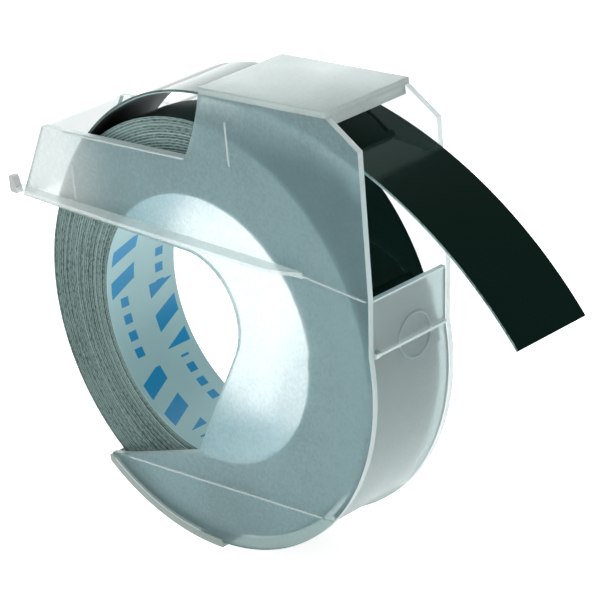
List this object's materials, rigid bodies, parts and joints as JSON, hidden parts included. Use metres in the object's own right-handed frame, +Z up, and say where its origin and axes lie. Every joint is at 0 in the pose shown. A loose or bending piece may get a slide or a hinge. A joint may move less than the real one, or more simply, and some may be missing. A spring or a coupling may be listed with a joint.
{
  "type": "embossing tape refill cassette",
  "caption": "Open translucent cassette around a coreless roll of glossy embossing tape, with the tape's free end leading out from under the roof.",
  "frame": {"origin": "centre of the tape roll, midway between the two side plates", "axes": "+X along the roof towards the tape's exit, +Y along the roll's axis away from the ledge side, +Z up through the roof"},
  "size_m": [0.0611, 0.0122, 0.0463],
  "materials": {
    "holder_plastic": "translucent, satin-smooth moulded plastic",
    "vinyl_black": "high gloss",
    "liner_white": "smooth release liner with plain blue marks"
  },
  "bodies": {
    "holder": {"front_side_plate": "holder_plastic", "rear_side_plate": "holder_plastic", "roof": "holder_plastic", "exit_wall": "holder_plastic", "left_end_wall": "holder_plastic", "lower_lip": "holder_plastic", "front_ledge": "holder_plastic", "ledge_hook": "holder_plastic"},
    "roll": {"wound_tape": "vinyl_black", "inner_liner_turn": "liner_white", "loose_turn_vinyl": "vinyl_black", "loose_turn_liner": "liner_white"},
    "leader": {"leader_vinyl": "vinyl_black", "leader_liner": "liner_white"}
  },
  "joints": [
    {"name": "roll_spin", "type": "hinge", "parent": "holder", "child": "roll", "pos_m": [0, 0, 0], "axis": [0, 1, 0], "range_deg": [0, 24]},
    {"name": "leader_feed", "type": "hinge", "parent": "holder", "child": "leader", "pos_m": [0.004, 0, -0.01815], "axis": [0, 1, 0], "range_deg": [0, 12]}
  ],
  "couplings": [
    {"joint": "leader_feed", "follows": "roll_spin", "ratio": 0.498}
  ]
}
